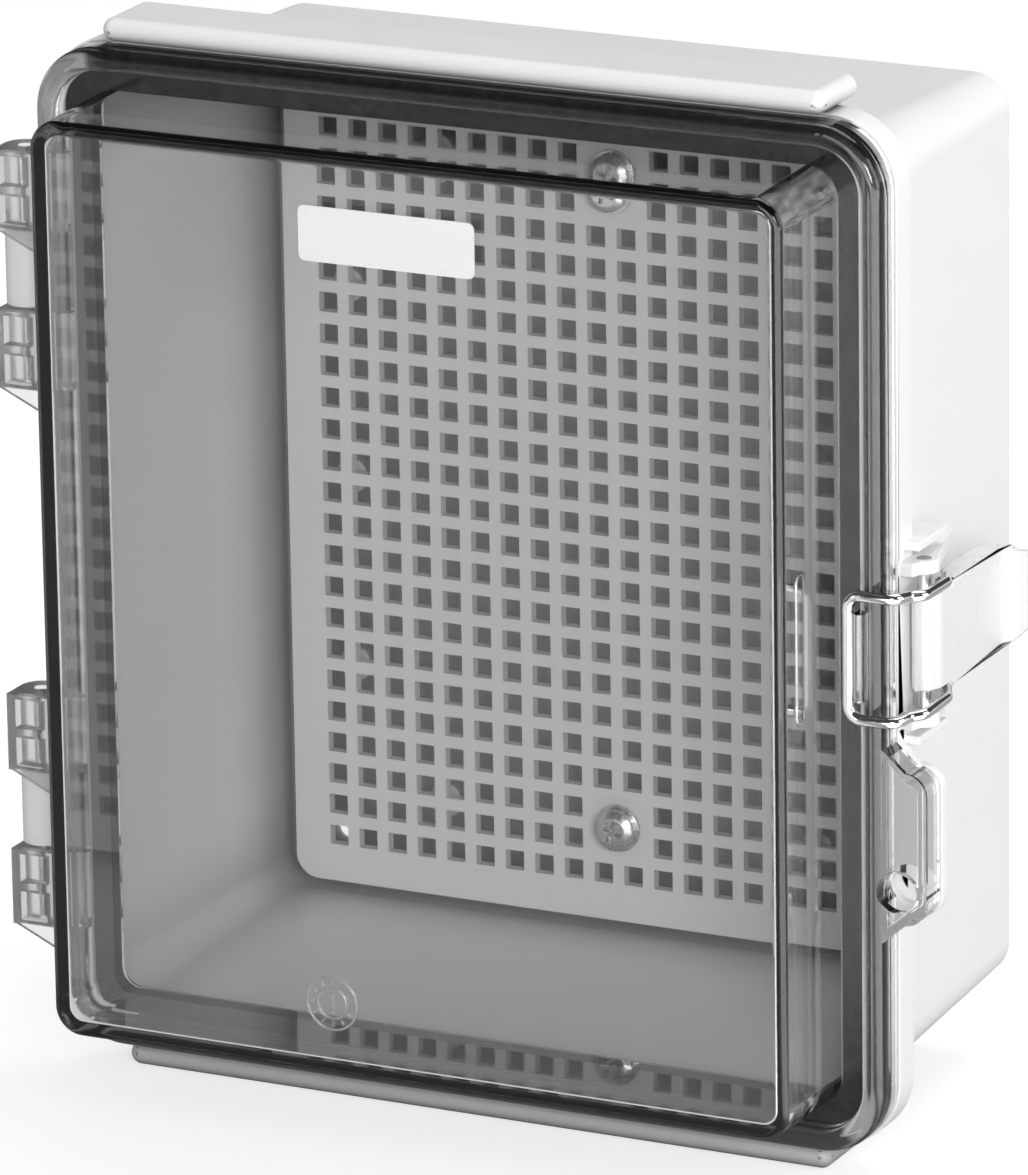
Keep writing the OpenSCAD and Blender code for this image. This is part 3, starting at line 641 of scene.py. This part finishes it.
def make_bail():
    """The bent wire of the latch: a straight bar in front and two arms that bow round the lugs."""
    low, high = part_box("latch_bail")
    middle = (low.z + high.z) / 2
    radius = BAIL_WIRE / 2
    bar_x, bar_y = low.x + radius, low.y + radius
    out_x = high.x - radius
    arm = high.z - radius - middle
    pivot = Vector(next(j["pos_m"] for j in frame["joints"] if j["name"] == "bail_pivot"))
    at_shoulder, at_outer, at_heel, at_pivot = (arm - lean for lean in BAIL_LEAN)
    upper = [
        Vector((bar_x, bar_y, arm)),
        Vector((bar_x + BAIL_STRAIGHT, bar_y, arm)),
        Vector((out_x - BAIL_SHOULDER_IN, bar_y + BAIL_SHOULDER_BACK, at_shoulder)),
        Vector((out_x, bar_y + BAIL_OUTER_BACK, at_outer)),
        Vector((out_x, pivot.y - BAIL_HEEL, at_heel)),
        Vector((pivot.x, pivot.y, at_pivot)),
        Vector((pivot.x, pivot.y, arm - BAIL_HOOK)),
    ]
    lower = [Vector((corner.x, corner.y, -corner.z)) for corner in reversed(upper)]
    lift = Vector((0, 0, middle))
    route = [point + lift for point in rounded_route(lower + upper, BAIL_BEND)]
    bail = shaped("bail_wire", wire(route, radius), body_of("latch_bail"), "stainless_wire")
    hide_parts("latch_bail")


def round_corners(half_w, half_h, radius, steps=10):
    """Points of an upright rectangle with round corners, anticlockwise from its lower right corner."""
    points = []
    for quarter, (sx, sz) in enumerate(((1, -1), (1, 1), (-1, 1), (-1, -1))):
        for step in range(steps + 1):
            angle = math.pi / 2 * (quarter - 1 + step / steps)
            x = sx * (half_w - radius) + radius * math.cos(angle)
            z = sz * (half_h - radius) + radius * math.sin(angle)
            points.append((x, z))
    return points


def make_gasket():
    """The foam strip under the flange, with its outer edge just inside the bead."""
    low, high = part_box("cover_gasket")
    outer = round_corners(high.x - GASKET_TRIM, high.z, GASKET_OUTER_R)
    inner = round_corners(high.x - GASKET_WIDTH, high.z - GASKET_WIDTH, GASKET_INNER_R)
    shape = bmesh.new()
    loops = []
    for ring, y in ((outer, low.y), (outer, high.y), (inner, high.y), (inner, low.y)):
        loops.append([shape.verts.new((x, y, z)) for x, z in ring])
    for here, following in zip(loops, loops[1:] + loops[:1]):
        for k in range(len(here)):
            shape.faces.new((here[k - 1], here[k], following[k], following[k - 1]))
    bmesh.ops.recalc_face_normals(shape, faces=shape.faces)
    gasket = shaped("foam_gasket", shape, body_of("cover_gasket"), "foam")
    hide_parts("cover_gasket")


# ---------- figures moulded on the cover ----------


def circle(radius, steps=48):
    """Points of a circle outline in (across, up)."""
    angles = [2 * math.pi * step / steps for step in range(steps)]
    return [(radius * math.cos(angle), radius * math.sin(angle)) for angle in angles]


def stadium(half_length, half_width, steps=12):
    """Points of an upright slot outline in (across, up)."""
    straight = half_length - half_width
    points = []
    for end in (1, -1):
        for step in range(steps + 1):
            angle = math.pi * step / steps + (0 if end > 0 else math.pi)
            across = half_width * math.cos(angle)
            points.append((across, end * straight + half_width * math.sin(angle)))
    return points


def raise_line(shape, outline, width, height, place):
    """Adds a low ridge along a closed outline. place turns (across, up, out) into the frame."""
    count = len(outline)
    sections = []
    for i, (a, b) in enumerate(outline):
        before, after = Vector(outline[i - 1]), Vector(outline[(i + 1) % count])
        along = (after - before).normalized()
        outward = Vector((along.y, -along.x))
        section = []
        for share, rise in ((-0.5, 0), (-0.3, 0.8), (0, 1), (0.3, 0.8), (0.5, 0)):
            point = Vector((a, b)) + outward * (share * width)
            section.append(shape.verts.new(place(point.x, point.y, rise * height)))
        sections.append(section)
    for i, section in enumerate(sections):
        following = sections[(i + 1) % count]
        for k in range(len(section)):
            j = (k + 1) % len(section)
            shape.faces.new((section[k], section[j], following[j], following[k]))


def raise_bar(shape, start, end, place):
    """Adds a low bar between two points of a flat figure."""
    along = (end - start).normalized()
    across = Vector((-along.y, along.x)) * BAR_W / 2
    corners = [start - across, start + across, end + across, end - across]
    base = [shape.verts.new(place(corner.x, corner.y, 0)) for corner in corners]
    top = [shape.verts.new(place(corner.x, corner.y, BAR_H)) for corner in corners]
    shape.faces.new(base)
    shape.faces.new(reversed(top))
    for k in range(4):
        shape.faces.new((base[k - 1], base[k], top[k], top[k - 1]))


def make_wall_mark():
    """The slot outline moulded on the latch side of the window."""
    low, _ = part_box("cover")
    middle_y = low.y + WALL_MARK_BACK

    def place(across, up, out):
        return Vector((WINDOW_WALL_X + out + AIR, middle_y + across, WALL_MARK_Z + up))

    outline = stadium(WALL_MARK_LENGTH / 2, WALL_MARK_WIDTH / 2)
    shape = bmesh.new()
    raise_line(shape, outline, WALL_MARK_RIDGE_W, WALL_MARK_RIDGE_H, place)
    bmesh.ops.recalc_face_normals(shape, faces=shape.faces)
    shaped("wall_mark", shape, body_of("cover"), "clear_pc")


def make_date_dial():
    """A moulder's date dial on the inside of the window: two rings, ticks and a pointer."""
    low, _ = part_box("cover")
    inside_y = low.y + WINDOW_T + AIR

    def place(across, up, out):
        return Vector((DIAL_X + across, inside_y + out, DIAL_Z + up))

    shape = bmesh.new()
    for radius in (DIAL_R, DIAL_INNER_R):
        raise_line(shape, circle(radius), DIAL_RIDGE_W, DIAL_RIDGE_H, place)
    for tick in range(DIAL_TICKS):
        angle = 2 * math.pi * tick / DIAL_TICKS
        ahead = Vector((math.cos(angle), math.sin(angle)))
        raise_bar(shape, ahead * DIAL_TICK_FROM, ahead * DIAL_TICK_TO, place)
    raise_bar(shape, Vector((0, -DIAL_POINTER)), Vector((0, DIAL_POINTER)), place)
    bmesh.ops.recalc_face_normals(shape, faces=shape.faces)
    shaped("date_dial", shape, body_of("cover"), "clear_pc")


# ---------- the scene ----------

make_camera()
make_world()
make_lights()
make_floor()
materials = make_materials()
dress_cad_nodes()
for name, width in EDGE_ROUNDS.items():
    soften(name, width)
make_gasket()
make_bail()
make_wall_mark()
make_date_dial()

scene.view_settings.view_transform = "Standard"
scene.cycles.use_denoising = True
